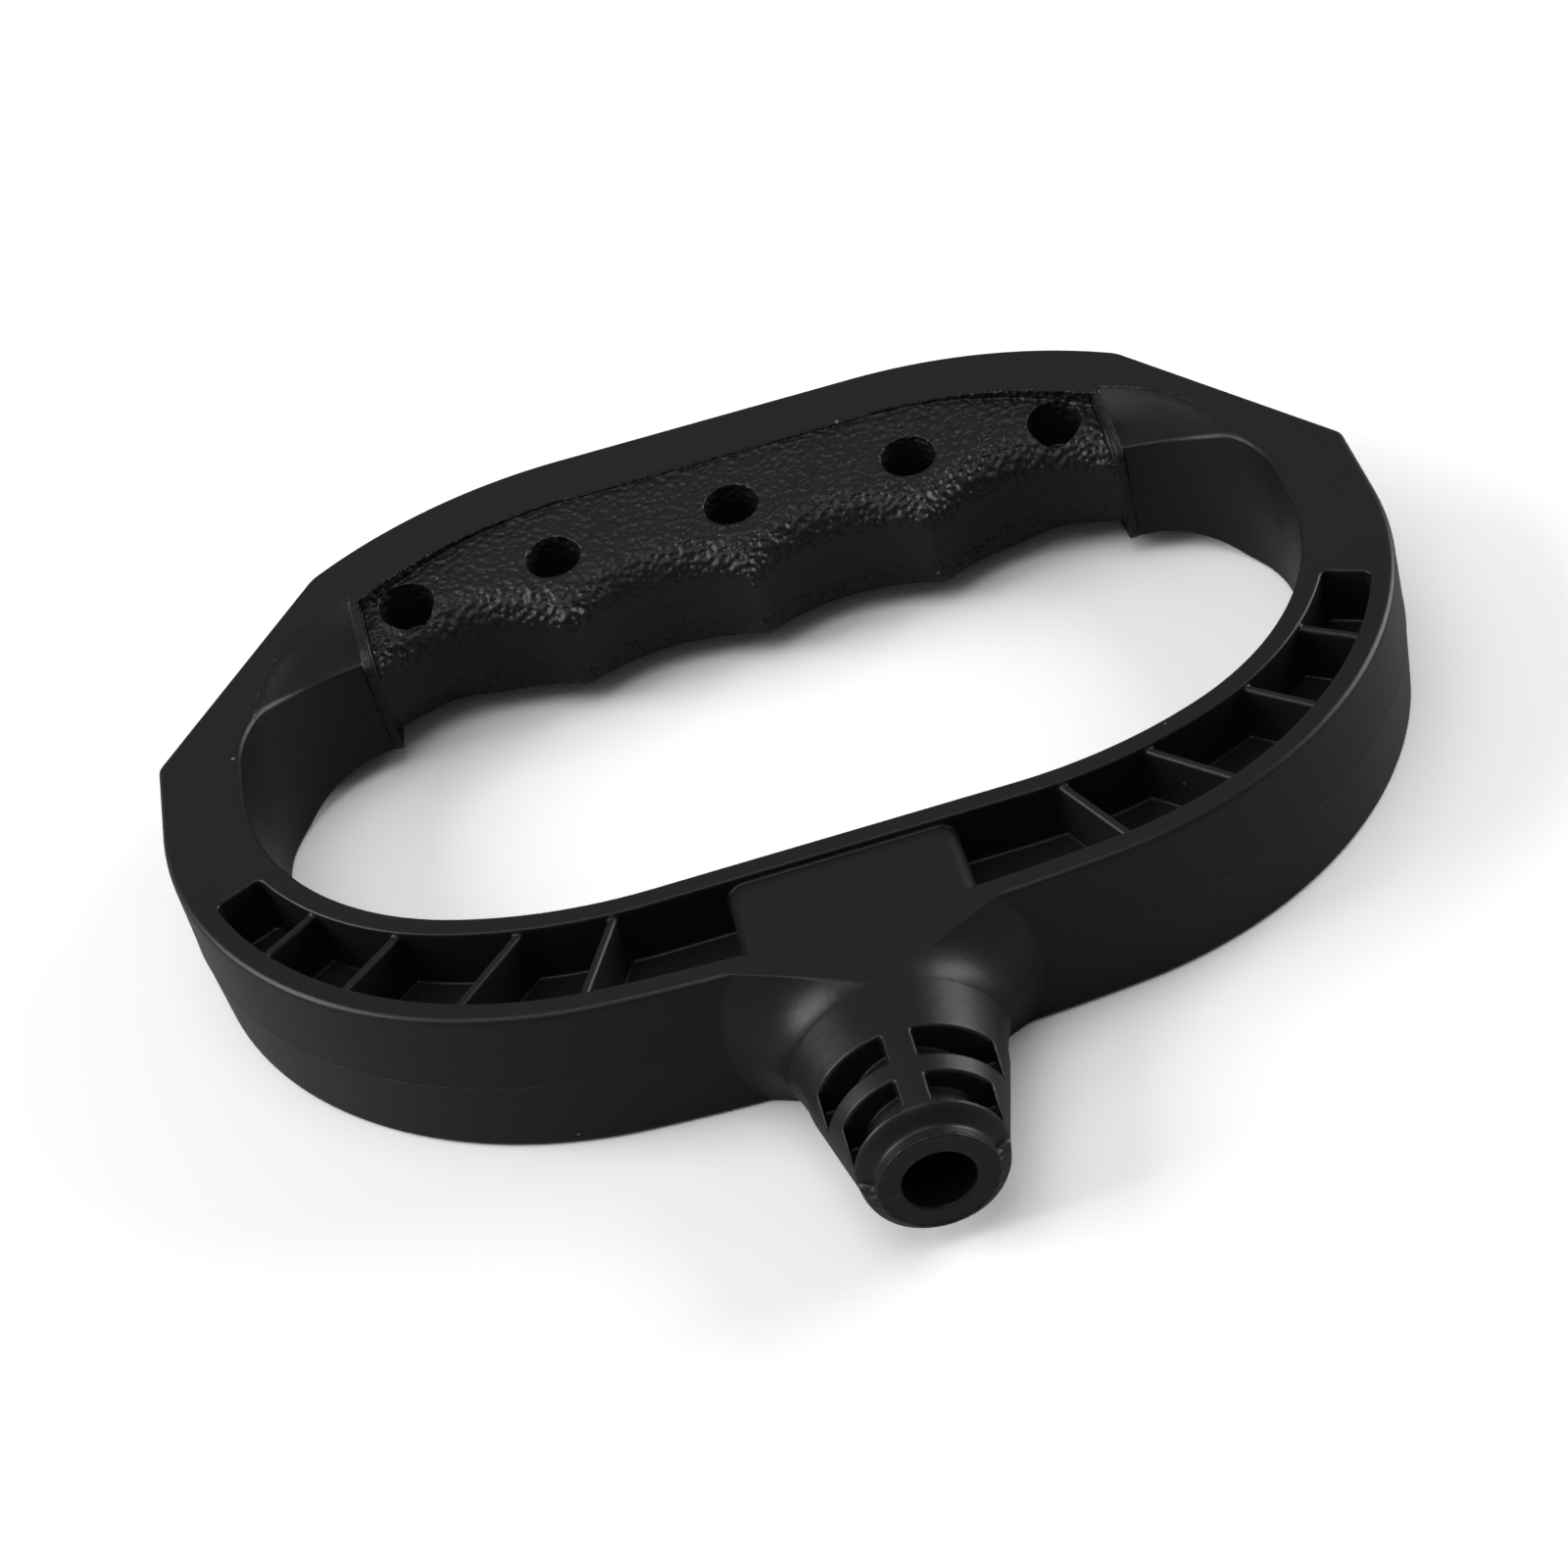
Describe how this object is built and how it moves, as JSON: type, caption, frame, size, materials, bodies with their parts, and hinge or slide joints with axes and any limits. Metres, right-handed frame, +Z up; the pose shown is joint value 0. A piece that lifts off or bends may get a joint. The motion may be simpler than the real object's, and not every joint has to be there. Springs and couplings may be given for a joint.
{
  "type": "recoil starter handle",
  "caption": "Moulded D-shaped pull handle for a recoil starter, with a finger-grooved grip, a ribbed front band and a slotted rope nozzle with a through bore.",
  "frame": {"origin": "centre of the bounding box in X and Y, on the lower flat face", "axes": "+X across the handle, +Y from the nozzle towards the finger grip, +Z up out of the upper flat face"},
  "size_m": [0.151, 0.1362, 0.02],
  "materials": {
    "handle_plastic": "satin black moulded plastic with a leather-grain panel on the grip"
  },
  "bodies": {
    "root": {"handle": "handle_plastic"}
  },
  "joints": []
}
